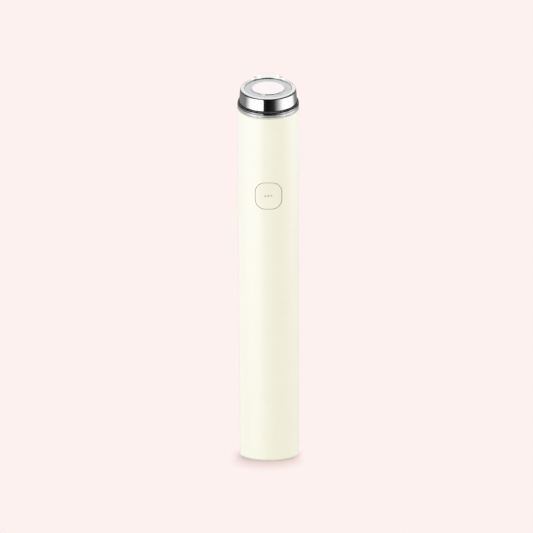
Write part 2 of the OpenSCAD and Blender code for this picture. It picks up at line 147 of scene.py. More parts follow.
def plastic(name, dark, light, rough=(0.3, 0.36), grain=2600.0, grain_depth=0.0000025,
            coat=0.0, sss=0.0, ior=1.5, blot=90.0):
    m, nt, p = new_material(name)
    co = coords(nt)
    big = noise(nt, co, blot, 3.0)
    nt.links.new(two_tone(nt, big.outputs["Fac"], dark, light), p.inputs["Base Color"])
    fine = noise(nt, co, grain, 2.0, 0.6)
    nt.links.new(ramp(nt, fine.outputs["Fac"], 0.25, 0.75, *rough), p.inputs["Roughness"])
    bump(nt, p, fine.outputs["Fac"], 0.35, grain_depth)
    p.inputs["IOR"].default_value = ior
    if coat:
        p.inputs["Coat Weight"].default_value = coat
        p.inputs["Coat Roughness"].default_value = 0.12
    if sss:
        p.inputs["Subsurface Weight"].default_value = sss
        p.inputs["Subsurface Radius"].default_value = (1.0, 0.9, 0.7)
        p.inputs["Subsurface Scale"].default_value = 0.0012
    return m


def metal(name, dark, light, rough=(0.2, 0.3), scale=1500.0, stretch=None,
          depth=0.0000015, strength=0.25):
    m, nt, p = new_material(name)
    co = coords(nt)
    n = noise(nt, co, scale, 3.0, 0.6, stretch)
    nt.links.new(two_tone(nt, n.outputs["Fac"], dark, light), p.inputs["Base Color"])
    nt.links.new(ramp(nt, n.outputs["Fac"], 0.25, 0.75, *rough), p.inputs["Roughness"])
    p.inputs["Metallic"].default_value = 1.0
    bump(nt, p, n.outputs["Fac"], strength, depth)
    return m


# ------------------------------------------------------------------ materials
IVORY_D, IVORY_L = (0.797, 0.773, 0.637), (0.812, 0.789, 0.651)
M_BODY = plastic("ivory_satin_plastic", IVORY_D, IVORY_L, rough=(0.30, 0.34), coat=0.0, sss=0.08)
M_BUTTON = plastic("ivory_button_plastic", (0.784, 0.760, 0.625), (0.799, 0.775, 0.639),
                   rough=(0.30, 0.34), sss=0.08)
M_FOOT = plastic("ivory_foot_plastic", (0.76, 0.745, 0.63), (0.78, 0.765, 0.65),
                 rough=(0.45, 0.55), grain=3800.0, grain_depth=0.000006)
M_GUIDE = plastic("light_guide", (0.50, 0.48, 0.45), (0.56, 0.54, 0.50), rough=(0.25, 0.35))
M_WHITE = plastic("white_moulding", (0.78, 0.78, 0.76), (0.84, 0.84, 0.82), rough=(0.42, 0.52))
M_BLACK = plastic("black_moulding", (0.018, 0.018, 0.019), (0.028, 0.028, 0.03), rough=(0.4, 0.5))
M_RUBBER = plastic("black_rubber", (0.010, 0.010, 0.010), (0.018, 0.018, 0.018),
                   rough=(0.48, 0.6), grain=5200.0, grain_depth=0.000004)
M_SILICONE = plastic("grey_silicone", (0.13, 0.13, 0.135), (0.17, 0.17, 0.175), rough=(0.55, 0.7))
M_SLEEVE = plastic("blue_sleeve", (0.02, 0.08, 0.28), (0.03, 0.10, 0.33), rough=(0.25, 0.35))
M_WIRE = plastic("wire_insulation", (0.16, 0.02, 0.015), (0.22, 0.03, 0.02), rough=(0.35, 0.5))
M_BOARD = plastic("solder_mask", (0.008, 0.09, 0.035), (0.015, 0.14, 0.06), rough=(0.25, 0.4),
                  grain=900.0, blot=420.0)
M_AMBER = plastic("amber_ribbon", (0.45, 0.16, 0.02), (0.55, 0.21, 0.03), rough=(0.25, 0.35))
M_LED = plastic("led_resin", (0.85, 0.72, 0.25), (0.92, 0.80, 0.32), rough=(0.2, 0.3))
M_STEEL = metal("zinc_steel", (0.50, 0.50, 0.51), (0.60, 0.60, 0.61), rough=(0.28, 0.40))
M_PORT = metal("drawn_steel", (0.55, 0.55, 0.56), (0.64, 0.64, 0.65), rough=(0.22, 0.34),
               stretch=(1, 1, 0.08))
M_CELL = metal("cell_can", (0.55, 0.55, 0.55), (0.65, 0.65, 0.64), rough=(0.25, 0.36))
M_NICKEL = metal("nickel", (0.52, 0.49, 0.43), (0.62, 0.59, 0.52), rough=(0.25, 0.4))
M_COPPER = metal("copper", (0.60, 0.30, 0.16), (0.72, 0.38, 0.22), rough=(0.25, 0.4),
                 stretch=(1, 1, 6))


def chrome_material():
    m, nt, p = new_material("chrome_plating")
    co = coords(nt)
    n = noise(nt, co, 3200.0, 2.0, 0.5)
    nt.links.new(two_tone(nt, n.outputs["Fac"], (0.885, 0.890, 0.895), (0.925, 0.928, 0.93)),
                 p.inputs["Base Color"])
    nt.links.new(ramp(nt, n.outputs["Fac"], 0.3, 0.7, 0.035, 0.06), p.inputs["Roughness"])
    p.inputs["Metallic"].default_value = 1.0
    bump(nt, p, n.outputs["Fac"], 0.03, 0.0000005)
    return m


def satin_ring_material():
    """Bead-blasted metal: fine even speckle with a faint larger mottle."""
    m, nt, p = new_material("satin_ring_metal")
    co = coords(nt)
    grit = noise(nt, co, 5200.0, 3.0, 0.75)
    cloud = noise(nt, co, 520.0, 2.0, 0.5)
    mix = add(nt, "ShaderNodeMath", operation="ADD")
    nt.links.new(ramp(nt, grit.outputs["Fac"], 0.2, 0.8, 0.0, 0.72), mix.inputs[0])
    nt.links.new(ramp(nt, cloud.outputs["Fac"], 0.2, 0.8, 0.0, 0.28), mix.inputs[1])
    nt.links.new(two_tone(nt, mix.outputs[0], (0.52, 0.526, 0.53), (0.78, 0.785, 0.79), 0.3, 0.7),
                 p.inputs["Base Color"])
    nt.links.new(ramp(nt, grit.outputs["Fac"], 0.3, 0.7, 0.38, 0.52), p.inputs["Roughness"])
    p.inputs["Metallic"].default_value = 0.35
    bump(nt, p, grit.outputs["Fac"], 0.5, 0.000006)
    return m


def frosted_material():
    m, nt, p = new_material("frosted_ring_plastic")
    co = coords(nt)
    n = noise(nt, co, 3000.0, 2.0, 0.6)
    nt.links.new(two_tone(nt, n.outputs["Fac"], (0.76, 0.765, 0.755), (0.84, 0.845, 0.835)),
                 p.inputs["Base Color"])
    nt.links.new(ramp(nt, n.outputs["Fac"], 0.3, 0.7, 0.19, 0.26), p.inputs["Roughness"])
    p.inputs["Metallic"].default_value = 0.75
    bump(nt, p, n.outputs["Fac"], 0.3, 0.000002)
    return m


def lens_material():
    m, nt, p = new_material("opal_lens")
    co = coords(nt)
    n = noise(nt, co, 260.0, 2.0, 0.5)
    nt.links.new(two_tone(nt, n.outputs["Fac"], (0.985, 0.845, 0.84), (0.99, 0.885, 0.878)),
                 p.inputs["Base Color"])
    nt.links.new(ramp(nt, n.outputs["Fac"], 0.3, 0.7, 0.10, 0.16), p.inputs["Roughness"])
    p.inputs["Coat Weight"].default_value = 0.3
    p.inputs["Coat Roughness"].default_value = 0.05
    return m


M_CHROME = chrome_material()
M_SATIN = satin_ring_material()
M_FROST = frosted_material()
M_LENS = lens_material()


# ------------------------------------------------------------------ mesh helpers
def finish_piece(name, verts, faces, mat, body, nodes, matrix=UPRIGHT, sharp=40.0):
    me = bpy.data.meshes.new(name)
    me.from_pydata([(x * MM, y * MM, z * MM) for x, y, z in verts], [], faces)
    me.transform(matrix)
    me.validate()
    import bmesh
    bm = bmesh.new()
    bm.from_mesh(me)
    bmesh.ops.remove_doubles(bm, verts=bm.verts, dist=1e-7)
    bmesh.ops.recalc_face_normals(bm, faces=bm.faces)
    bm.to_mesh(me)
    bm.free()
    me.shade_smooth()
    me.set_sharp_from_angle(angle=math.radians(sharp))
    me.materials.append(mat)
    o = bpy.data.objects.new(name, me)
    bpy.context.scene.collection.objects.link(o)
    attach(o, body)
    if nodes:
        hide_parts(*nodes)
    return o


def rounded(points, radii, seg=6):
    """Rounds the corners of a closed outline of (r, z) points. radii is one number, or one for each point."""
    n = len(points)
    if not isinstance(radii, (list, tuple)):
        radii = [radii] * n
    out = []
    for i in range(n):
        p, a, b = Vector(points[i]), Vector(points[i - 1]), Vector(points[(i + 1) % n])
        r = radii[i]
        if r <= 0:
            out.append(tuple(p))
            continue
        u, v = (a - p).normalized(), (b - p).normalized()
        half = math.acos(max(-1, min(1, u.dot(v)))) / 2
        if half > PI / 2 - 0.02:
            out.append(tuple(p))
            continue
        d = min(r / math.tan(half), 0.49 * (a - p).length, 0.49 * (b - p).length)
        r = d * math.tan(half)
        c = p + (u + v).normalized() * (r / math.sin(half))
        s, e = p + u * d - c, p + v * d - c
        turn = math.atan2(s.x * e.y - s.y * e.x, s.dot(e))
        for k in range(seg + 1):
            t = turn * k / seg
            out.append((c.x + s.x * math.cos(t) - s.y * math.sin(t),
                        c.y + s.x * math.sin(t) + s.y * math.cos(t)))
    return out


def lathe(profile, n=256):
    """Turns a closed outline of (r, z) points, or a function of the angle that gives one, about Z."""
    verts, faces = [], []
    at = profile if callable(profile) else (lambda a: profile)
    m = len(at(0.0))
    for i in range(n):
        a = 2 * PI * i / n
        for r, z in at(a):
            verts.append((r * math.sin(a), -r * math.cos(a), z))
    for i in range(n):
        j = (i + 1) % n
        for k in range(m):
            l = (k + 1) % m
            q = [i * m + k, j * m + k, j * m + l, i * m + l]
            faces.append(q)
    return verts, faces


def lathe_open(profile, n=256):
    """Turns an outline that starts and ends on the axis about Z."""
    verts, faces = [], []
    inner = profile[1:-1]
    m = len(inner)
    for i in range(n):
        a = 2 * PI * i / n
        for r, z in inner:
            verts.append((r * math.sin(a), -r * math.cos(a), z))
    lo, hi = len(verts), len(verts) + 1
    verts += [(0, 0, profile[0][1]), (0, 0, profile[-1][1])]
    for i in range(n):
        j = (i + 1) % n
        for k in range(m - 1):
            faces.append([i * m + k, j * m + k, j * m + k + 1, i * m + k + 1])
        faces.append([lo, j * m, i * m])
        faces.append([hi, i * m + m - 1, j * m + m - 1])
    return verts, faces


def rsq_ray(angle, half, corner):
    """Distance from the centre to a rounded square's edge along a direction."""
    c, s = abs(math.cos(angle)), abs(math.sin(angle))
    lo, hi = 0.0, half * 1.5
    for _ in range(48):
        t = (lo + hi) / 2
        x, y = t * c, t * s
        qx, qy = x - (half - corner), y - (half - corner)
        d = math.hypot(max(qx, 0), max(qy, 0)) + min(max(qx, qy), 0) - corner
        if d > 0:
            hi = t
        else:
            lo = t
    return (lo + hi) / 2


# ------------------------------------------------------------------ body tube
def make_body():
    half, corner = BTN_W / 2 + BTN_GAP, BTN_CORNER + BTN_GAP
    edge = 0.10                      # rounding of the opening's edge
    P, M = 8.6, 44                   # half size of the fine patch, and its divisions
    th_p = math.asin(P / body_r(BTN_Z))
    patch_x = [P * (2 * i / M - 1) for i in range(M + 1)]
    cols = [math.asin(x / body_r(BTN_Z)) for x in patch_x]
    rest = 132
    cols += [th_p + (2 * PI - 2 * th_p) * i / rest for i in range(1, rest)]
    nc = len(cols)
    patch_z = [BTN_Z + P * (2 * i / M - 1) for i in range(M + 1)]

    # rows: (r offset kind, radius or None for the cone, z, weight of the slant)
    rows = []
    tan = math.tan(TILT)

    def cone_rows(zs, w=0.0):
        for z in zs:
            rows.append(("cone", 0.0, z, w))
    rows.append(("fix", FOOT_PLATE_R + 0.1, FOOT_PLATE_T, 0))
    rows.append(("fix", FOOT_PLATE_R + 0.1, RIM_GAP + 0.15, 0))
    for k in range(5):
        a = PI / 2 * k / 4
        rows.append(("fix", FOOT_PLATE_R + 0.1 + 0.15 * (1 - math.cos(a)), RIM_GAP + 0.15 * (1 - math.sin(a)), 0))
    for k in range(17):
        a = -PI / 2 + PI / 2 * k / 16
        rows.append(("fix", R_FOOT - FOOT_ROUND + FOOT_ROUND * math.cos(a),
                     RIM_GAP + FOOT_ROUND + FOOT_ROUND * math.sin(a), 0))
    zs = [2.2, 4, 8, 14, 22, 30, 38, 46, 54, 62, 70, 78, 86, 94, 100, 105]
    cone_rows([z for z in zs if z < patch_z[0] - 1])
    first = len(rows)
    cone_rows(patch_z)
    last = len(rows) - 1
    top = SEAM_Z
    z0 = patch_z[-1]
    for k in range(1, 13):
        t = k / 12
        rows.append(("cone", 0.0, z0 + (top - 0.16 - z0) * t, t))
    for k in range(1, 6):            # rounding of the top edge
        a = PI / 2 * k / 5
        rows.append(("cone", -0.16 * (1 - math.cos(a)), top - 0.16 * (1 - math.sin(a)), 1.0))
    rows.append(("fix", BORE_R + 0.1, top, 1.0))
    rows.append(("fix", BORE_R, top - 0.1, 1.0))
    rows.append(("fix", BORE_R, patch_z[-1], 0.0))
    in_top = len(rows) - 1
    for z in reversed(patch_z[:-1]):
        rows.append(("fix", BORE_R, z, 0.0))
    in_bot = len(rows) - 1
    rows.append(("fix", BORE_R, 60.0, 0))
    rows.append(("fix", BORE_R, FOOT_PLATE_T, 0))

    def place(row, th):
        kind, r, z, w = row
        if kind == "cone":
            rr = body_r(z) + r
            zz = z
            for _ in range(3):       # the slanted rows follow the cone
                y = -rr * math.cos(th)
                zz = z + w * y * tan
                rr = body_r(zz) + r
        else:
            rr = r
            zz = z + w * (-rr * math.cos(th)) * tan
        return (rr * math.sin(th), -rr * math.cos(th), zz)

    verts = [place(row, th) for row in rows for th in cols]
    nr = len(rows)
    faces = []
    for i in range(nr):
        i2 = (i + 1) % nr
        for j in range(nc):
            j2 = (j + 1) % nc
            if j < M and (first <= i < last or in_top <= i < in_bot):
                continue
            faces.append([i * nc + j, i * nc + j2, i2 * nc + j2, i2 * nc + j])

    def square_loop(row_of):
        """Grid vertices round the patch, anticlockwise as seen from the front, from the lower left."""
        loop = [(row_of(0), j) for j in range(0, M)]
        loop += [(row_of(i), M) for i in range(0, M)]
        loop += [(row_of(M), j) for j in range(M, 0, -1)]
        loop += [(row_of(i), 0) for i in range(M, 0, -1)]
        return [i * nc + j for i, j in loop]
    outer = square_loop(lambda i: first + i)
    inner = square_loop(lambda i: in_bot - i)
    # directions of the loop's points from the centre of the opening
    sq = ([(x, patch_z[0]) for x in patch_x[:-1]] + [(patch_x[-1], z) for z in patch_z[:-1]]
          + [(x, patch_z[-1]) for x in reversed(patch_x[1:])] + [(patch_x[0], z) for z in reversed(patch_z[1:])])
    ang = [math.atan2(z - BTN_Z, x) for x, z in sq]
    N = len(sq)

    def ring(points):
        base = len(verts)
        verts.extend(points)
        return list(range(base, base + N))

    def contour(off):
        out = []
        for a in ang:
            d = rsq_ray(a, half + off, corner + off)
            out.append((d * math.cos(a), BTN_Z + d * math.sin(a)))
        return out

    def on_cone(x, z, depth=0.0):
        r = body_r(z)
        return (x, -math.sqrt(r * r - x * x) + depth, z)

    rings = [outer]
    c0 = contour(edge)
    for t in (0.18, 0.36, 0.53, 0.68, 0.80, 0.90, 0.96, 1.0):
        rings.append(ring([on_cone(sx + (cx - sx) * t, sz + (cz - sz) * t)
                           for (sx, sz), (cx, cz) in zip(sq, c0)]))
    for k in range(1, 7):
        a = PI / 2 * k / 6
        rings.append(ring([on_cone(x, z, edge * (1 - math.cos(a)))
                           for x, z in contour(edge * (1 - math.sin(a)))]))
    c1 = contour(0.0)
    rings.append(ring([(x, -math.sqrt(BORE_R ** 2 - x * x), z) for x, z in c1]))
    for t in (0.3, 0.65):
        rings.append(ring([(lambda X, Z: (X, -math.sqrt(BORE_R ** 2 - X * X), Z))(
            cx + (sx * BORE_R / body_r(BTN_Z) - cx) * t, cz + (sz - cz) * t)
            for (sx, sz), (cx, cz) in zip(sq, c1)]))
    rings.append(inner)
    for a, b in zip(rings, rings[1:]):
        for k in range(N):
            l = (k + 1) % N
            faces.append([a[k], a[l], b[l], b[k]])
    return finish_piece("body_shell", verts, faces, M_BODY, "housing", ["body_tube"], sharp=50)


# ------------------------------------------------------------------ button
def make_button():
    half, corner = BTN_W / 2, BTN_CORNER
    edge = 0.16
    N = 128
    ang = [2 * PI * k / N for k in range(N)]

    def contour(off):
        out = []
        for a in ang:
            d = rsq_ray(a, half + off, corner + off)
            out.append((d * math.cos(a), d * math.sin(a)))
        return out
    face_c = contour(-edge)

    def level(x, z):
        """How far out a point of the face is: 0 at the centre, 1 at the edge."""
        if abs(x) < 1e-9 and abs(z) < 1e-9:
            return 0.0
        return math.hypot(x, z) / rsq_ray(math.atan2(z, x), half - edge, corner - edge)

    def face(x, z, depth=0.0):
        r = body_r(BTN_Z + z)
        s = min(1.0, level(x, z))
        return (x, -math.sqrt(r * r - x * x) + BTN_DISH * (1 - s * s) ** 1.15 + depth, BTN_Z + z)

    pts = list(face_c)
    edges = [(k, (k + 1) % N) for k in range(N)]
    holes = []
    for i in (-1, 0, 1):
        base = len(pts)
        hole = [((i * DOT_PITCH) + (DOT_R + 0.02) * math.cos(2 * PI * k / 28),
                 (DOT_R + 0.02) * math.sin(2 * PI * k / 28)) for k in range(28)]
        pts += hole
        edges += [(base + k, base + (k + 1) % 28) for k in range(28)]
        holes.append((i * DOT_PITCH, base))
    for s in (0.975, 0.94, 0.89, 0.83, 0.76, 0.69, 0.62, 0.55, 0.48, 0.41, 0.34, 0.27, 0.2, 0.13, 0.06):
        for k in range(0, N, 2 if s > 0.4 else 4):
            x, z = face_c[(k + (1 if int(s * 100) % 2 else 0)) % N]
            x, z = x * s, z * s
            if all(math.hypot(x - h[0], z) > DOT_R + 0.12 for h in holes):
                pts.append((x, z))
    vo, _, fo, *_ = delaunay_2d_cdt([Vector(p) for p in pts], edges, [], 0, 1e-6)
    verts, faces = [face(v.x, v.y) for v in vo], []
    for f in fo:
        cx = sum(vo[i].x for i in f) / len(f)
        cz = sum(vo[i].y for i in f) / len(f)
        if level(cx, cz) < 1.0 and all(math.hypot(cx - h[0], cz) > (DOT_R + 0.02) * 0.98 for h in holes):
            faces.append(list(f))
    key = {(round(v.x, 5), round(v.y, 5)): i for i, v in enumerate(vo)}

    def find(p):
        return key[(round(p[0], 5), round(p[1], 5))]

    def strip(a, b):
        n = len(a)
        for k in range(n):
            l = (k + 1) % n
            faces.append([a[k], a[l], b[l], b[k]])

    def ring(points):
        base = len(verts)
        verts.extend(points)
        return list(range(base, base + len(points)))
    last = [find(p) for p in face_c]
    for k in range(1, 7):
        a = PI / 2 * k / 6
        nxt = ring([face(x, z, edge * (1 - math.cos(a))) for x, z in contour(-edge * (1 - math.sin(a)))])
        strip(last, nxt)
        last = nxt
    nxt = ring([(x, -9.2, BTN_Z + z) for x, z in contour(0)])          # side, down to the flange
    strip(last, nxt)
    wide = [(x, z) for x, z in [(rsq_ray(a, 6.4, 3.5) * math.cos(a), rsq_ray(a, 6.4, 3.5) * math.sin(a)) for a in ang]]
    a2 = ring([(x, -9.2, BTN_Z + z) for x, z in wide])
    strip(nxt, a2)
    a3 = ring([(x, -8.4, BTN_Z + z) for x, z in wide])
    strip(a2, a3)
    cav = [(rsq_ray(a, 4.3, 2.0) * math.cos(a), rsq_ray(a, 4.3, 2.0) * math.sin(a)) for a in ang]
    a4 = ring([(x, -8.4, BTN_Z + z) for x, z in cav])
    strip(a3, a4)
    a5 = ring([(x, -11.4, BTN_Z + z) for x, z in cav])
    strip(a4, a5)
    # inner face of the cap, with the holes of the light guide
    back = list(cav)
    bedges = [(k, (k + 1) % N) for k in range(N)]
    for i in (-1, 0, 1):
        b0 = len(back)
        back += [((i * DOT_PITCH) + (DOT_R + 0.02) * math.cos(2 * PI * k / 28),
                  (DOT_R + 0.02) * math.sin(2 * PI * k / 28)) for k in range(28)]
        bedges += [(b0 + k, b0 + (k + 1) % 28) for k in range(28)]
    bo, _, bf, *_ = delaunay_2d_cdt([Vector(p) for p in back], bedges, [], 0, 1e-6)
    bkey = {(round(v.x, 5), round(v.y, 5)): i for i, v in enumerate(bo)}
    base = len(verts)
    verts.extend([(v.x, -11.4, BTN_Z + v.y) for v in bo])
    for f in bf:
        cx = sum(bo[i].x for i in f) / len(f)
        cz = sum(bo[i].y for i in f) / len(f)
        if all(math.hypot(cx - i * DOT_PITCH, cz) > (DOT_R + 0.02) * 0.98 for i in (-1, 0, 1)):
            faces.append([base + i for i in f])
    for (hx, start) in holes:
        loop = [(hx + (DOT_R + 0.02) * math.cos(2 * PI * k / 28), (DOT_R + 0.02) * math.sin(2 * PI * k / 28))
                for k in range(28)]
        strip([find(p) for p in loop], [base + bkey[(round(p[0], 5), round(p[1], 5))] for p in loop])
    # post over the switch
    n = 32
    zc = BTN_Z - 3.4
    p0 = ring([(1.2 * math.cos(2 * PI * k / n), -11.4, zc + 1.2 * math.sin(2 * PI * k / n)) for k in range(n)])
    p1 = ring([(1.2 * math.cos(2 * PI * k / n), -7.62, zc + 1.2 * math.sin(2 * PI * k / n)) for k in range(n)])
    strip(p0, p1)
    faces.append(p0)
    faces.append(list(reversed(p1)))
    o = finish_piece("button_shell", verts, faces, M_BUTTON, "button", ["button_cap"], sharp=38)

    # light guide: three round prongs that end just inside the dish, on one bar
    verts, faces = [], []
    n = 32
    for i in (-1, 0, 1):
        cx = i * DOT_PITCH
        y_face = face(cx, 0.0001)[1]
        base = len(verts)
        prof = [(DOT_R, -11.6), (DOT_R, y_face + 0.06), (DOT_R * 0.93, y_face + 0.025), (DOT_R * 0.6, y_face + 0.01)]
        for r, y in prof:
            verts += [(cx + r * math.cos(2 * PI * k / n), y, BTN_Z + r * math.sin(2 * PI * k / n)) for k in range(n)]
        verts.append((cx, y_face + 0.005, BTN_Z))
        for q in range(len(prof) - 1):
            for k in range(n):
                l = (k + 1) % n
                faces.append([base + q * n + k, base + q * n + l, base + (q + 1) * n + l, base + (q + 1) * n + k])
        t = base + (len(prof) - 1) * n
        for k in range(n):
            faces.append([t + k, t + (k + 1) % n, base + len(prof) * n])
        faces.append([base + k for k in range(n)])
    base = len(verts)
    outline = [(sx * (2.3 - cx), sz * (0.8 - cz)) for sx, sz, cx, cz in
               ((1, 1, 0, 0.15), (1, 1, 0.15, 0), (-1, 1, 0.15, 0), (-1, 1, 0, 0.15),
                (-1, -1, 0, 0.15), (-1, -1, 0.15, 0), (1, -1, 0.15, 0), (1, -1, 0, 0.15))]
    for y in (-11.4, -6.2):
        verts += [(x, y, BTN_Z + z) for x, z in outline]
    for k in range(8):
        l = (k + 1) % 8
        faces.append([base + k, base + l, base + 8 + l, base + 8 + k])
    faces.append([base + k for k in range(8)])
    faces.append([base + 8 + k for k in reversed(range(8))])
    finish_piece("dot_light_guide", verts, faces, M_GUIDE, "button", ["button_light_guide"], sharp=50)
    return o


# ------------------------------------------------------------------ head
def make_head():
    # frosted light ring
    prof = rounded([(11.2, 0.0), (COLLAR_R, 0.0), (COLLAR_R, LIGHT_H), (11.2, LIGHT_H)], [0, 0.10, 0.10, 0], 5)
    v, f = lathe(prof, 288)
    finish_piece("frosted_light_ring", v, f, M_FROST, "housing", ["light_ring"], HEAD)

    # chrome flange with a bevel that leans in
    prof = rounded([(11.2, LIGHT_H), (COLLAR_R, LIGHT_H), (COLLAR_R, FLANGE_TOP - BEVEL_H),
                    (COLLAR_R - BEVEL_IN, FLANGE_TOP), (11.2, FLANGE_TOP)], [0, 0.10, 0.3, 0.03, 0], 6)
    v, f = lathe(prof, 320)
    finish_piece("chrome_flange", v, f, M_CHROME, "housing", ["flange_ring"], HEAD)

    # gasket between the flange and the electrode
    top = FLANGE_TOP + GASKET_H
    foot, foot_r = FLANGE_TOP + 0.1, COLLAR_R - BEVEL_IN - 0.06
    prof = rounded([(11.3, FLANGE_TOP), (foot_r, FLANGE_TOP), (foot_r, foot), (WALL_FOOT_R + 0.12, foot),
                    (WALL_FOOT_R + 0.12, top), (11.3, top)], [0, 0.02, 0.04, 0.02, 0.03, 0], 5)
    v, f = lathe(prof, 256)
    finish_piece("electrode_gasket", v, f, M_RUBBER, "housing", ["head_gasket"], HEAD)

    # chrome electrode: its rim rises to a rounded crest at the back
    def crest(a):
        """a is the angle from the front, in radians."""
        d = 180.0 - abs(math.degrees(a) - 0.0) if a <= PI else 180.0 - abs(360.0 - math.degrees(a))
        return CREST_H * math.exp(-0.5 * (d / CREST_SPREAD) ** 2)

    z0 = FLANGE_TOP + GASKET_H

    def section(a):
        c = crest(a)
        w = c / CREST_H
        e, g = 0.2 + 0.08 * w, 0.14 + 2.26 * w        # roundings of the outer and the inner edge
        b, lean = 0.5 - 0.48 * w, math.radians(23) * (1 - w)      # band under the outer edge
        ox, oz = WALL_RIM_R - e * math.cos(lean) - b * math.sin(lean), RIM_H - e + c
        ix, iz = RIM_IN + g, RIM_H - 0.14 - 0.51 * w
        s = math.atan2(oz - iz, ox - ix) + math.asin((e - g) / math.hypot(ox - ix, oz - iz))
        zb = oz + e * math.sin(lean) - b * math.cos(lean)
        pts = []
        for k in range(5):           # foot of the wall
            t = PI / 2 * k / 4
            pts.append((WALL_FOOT_R - 0.12 + 0.12 * math.sin(t), z0 + 0.12 - 0.12 * math.cos(t)))
        for k in range(1, 16):       # wall
            t = k / 15
            pts.append((WALL_FOOT_R + (WALL_RIM_R - WALL_FOOT_R) * t, z0 + 0.12 + (zb - z0 - 0.12) * t))
        for k in range(15):          # outer edge of the rim
            t = lean + (PI / 2 + s - lean) * k / 14
            pts.append((ox + e * math.cos(t), oz + e * math.sin(t)))
        t = PI / 2 - s
        (ra, za), (rb, zb) = pts[-1], (ix - g * math.cos(t), iz + g * math.sin(t))
        for k in range(1, 12):       # face of the rim
            pts.append((ra + (rb - ra) * k / 12, za + (zb - za) * k / 12))
        for k in range(15):          # inner edge
            t = (PI / 2 - s) * (1 - k / 14)
            pts.append((ix - g * math.cos(t), iz + g * math.sin(t)))
        pts += [(RIM_IN, LIP_Z), (11.3, LIP_Z), (11.3, z0)]
        return pts
    v, f = lathe(section, 384)
    finish_piece("electrode_rim", v, f, M_CHROME, "housing", ["electrode_head"], HEAD, sharp=45)

    # satin ring between rim and bezel
    prof = rounded([(BEZEL_R + 0.02, RING_Z0), (RIM_IN - 0.09, RING_Z0), (RIM_IN - 0.09, RING_Z1), (BEZEL_R + 0.02, RING_Z1)],
                   [0, 0.05, 0.08, 0.05], 5)
    v, f = lathe(prof, 288)
    finish_piece("satin_ring", v, f, M_SATIN, "housing", ["inner_ring"], HEAD)

    # gasket under the bezel
    prof = rounded([(LENS_R + 0.02, RING_Z0), (BEZEL_R, RING_Z0), (BEZEL_R, BEZEL_Z0), (LENS_R + 0.02, BEZEL_Z0)],
                   [0, 0, 0.05, 0.05], 4)
    v, f = lathe(prof, 192)
    finish_piece("lens_seal", v, f, M_RUBBER, "housing", ["lens_gasket"], HEAD)

    # polished bezel round the lens
    prof = rounded([(LENS_R + 0.02, BEZEL_Z0), (BEZEL_R, BEZEL_Z0), (BEZEL_R, RING_Z1 - 0.02),
                    (BEZEL_R - 0.09, BEZEL_Z1), (LENS_R + 0.02, BEZEL_Z1)], [0, 0.05, 0.04, 0.06, 0.08], 8)
    v, f = lathe(prof, 256)
    finish_piece("lens_bezel_ring", v, f, M_CHROME, "housing", ["lens_bezel"], HEAD)

    # lens, a shallow polished dome
    zl = RING_Z0 - 0.6
    prof = [(0, zl), (8.6, zl), (8.6, RING_Z0), (LENS_R, RING_Z0)]
    prof += [(LENS_R - 0.12 + 0.12 * math.cos(t), BEZEL_Z1 - 0.16 + 0.12 * math.sin(t))
             for t in [PI / 2 * k / 6 for k in range(7)]]
    for k in range(1, 25):
        x = (LENS_R - 0.12) * (1 - k / 24)
        prof.append((x, BEZEL_Z1 - 0.04 + 0.18 * (1 - (x / (LENS_R - 0.12)) ** 2)))
    v, f = lathe_open(prof, 224)
    finish_piece("opal_lens", v, f, M_LENS, "housing", ["lens"], HEAD, sharp=35)


make_body()
make_button()
make_head()

# ------------------------------------------------------------------ finishes of the carried-over pieces
FINISH = {
    "base_cap": M_FOOT, "base_screws": M_STEEL, "usb_shell": M_PORT, "usb_tongue": M_BLACK,
    "charge_board": M_BOARD, "charge_parts": M_BLACK, "charge_leads": M_WIRE, "chassis": M_WHITE,
    "battery_cell": M_CELL, "battery_sleeve": M_SLEEVE, "battery_pads": M_SILICONE,
    "battery_tabs": M_NICKEL, "battery_leads": M_WIRE, "main_board": M_BOARD,
    "board_screws": M_STEEL, "board_chips": M_BLACK, "boost_inductor": M_COPPER,
    "ribbon_socket": M_WHITE, "indicator_leds": M_LED, "tact_switch": M_BLACK,
    "switch_plunger": M_WHITE, "button_gasket": M_SILICONE, "motor_can": M_STEEL,
    "motor_sleeve": M_SILICONE, "motor_shaft": M_STEEL, "eccentric_weight": M_NICKEL,
    "head_carrier": M_BLACK, "carrier_o_ring": M_RUBBER, "carrier_screws": M_STEEL,
    "reflector": M_WHITE, "head_board": M_WHITE, "head_leds": M_LED,
    "electrode_contacts": M_COPPER, "head_ribbon": M_AMBER,
}
for name, ob in frame["nodes"].items():
    if name in FINISH:
        if not ob.material_slots:
            ob.data.materials.append(FINISH[name])
        for s in ob.material_slots:
            s.material = FINISH[name]

# ------------------------------------------------------------------ stage
scene = bpy.context.scene
PINK = (1.08, 0.894, 0.870)      # through the soft shoulder below this comes out pale pink


def soft_shoulder():
    """Rolls bright tones off gently, as a camera does."""
    vs = scene.view_settings
    vs.view_transform = "Standard"
    vs.look = "None"
    vs.exposure = 0.0
    vs.gamma = 1.0
    vs.use_curve_mapping = True
    cm = vs.curve_mapping
    cm.white_level = (2.0, 2.0, 2.0)
    cm.extend = "HORIZONTAL"
    c = cm.curves[3]
    for x, y in ((0.85, 0.85), (0.94, 0.91), (1.0, 0.943), (1.08, 0.9734), (1.3, 1.0)):
        pt = c.points.new(x / 2.0, y)
        pt.handle_type = "VECTOR"
    for pt in c.points:
        pt.handle_type = "VECTOR"
    cm.update()


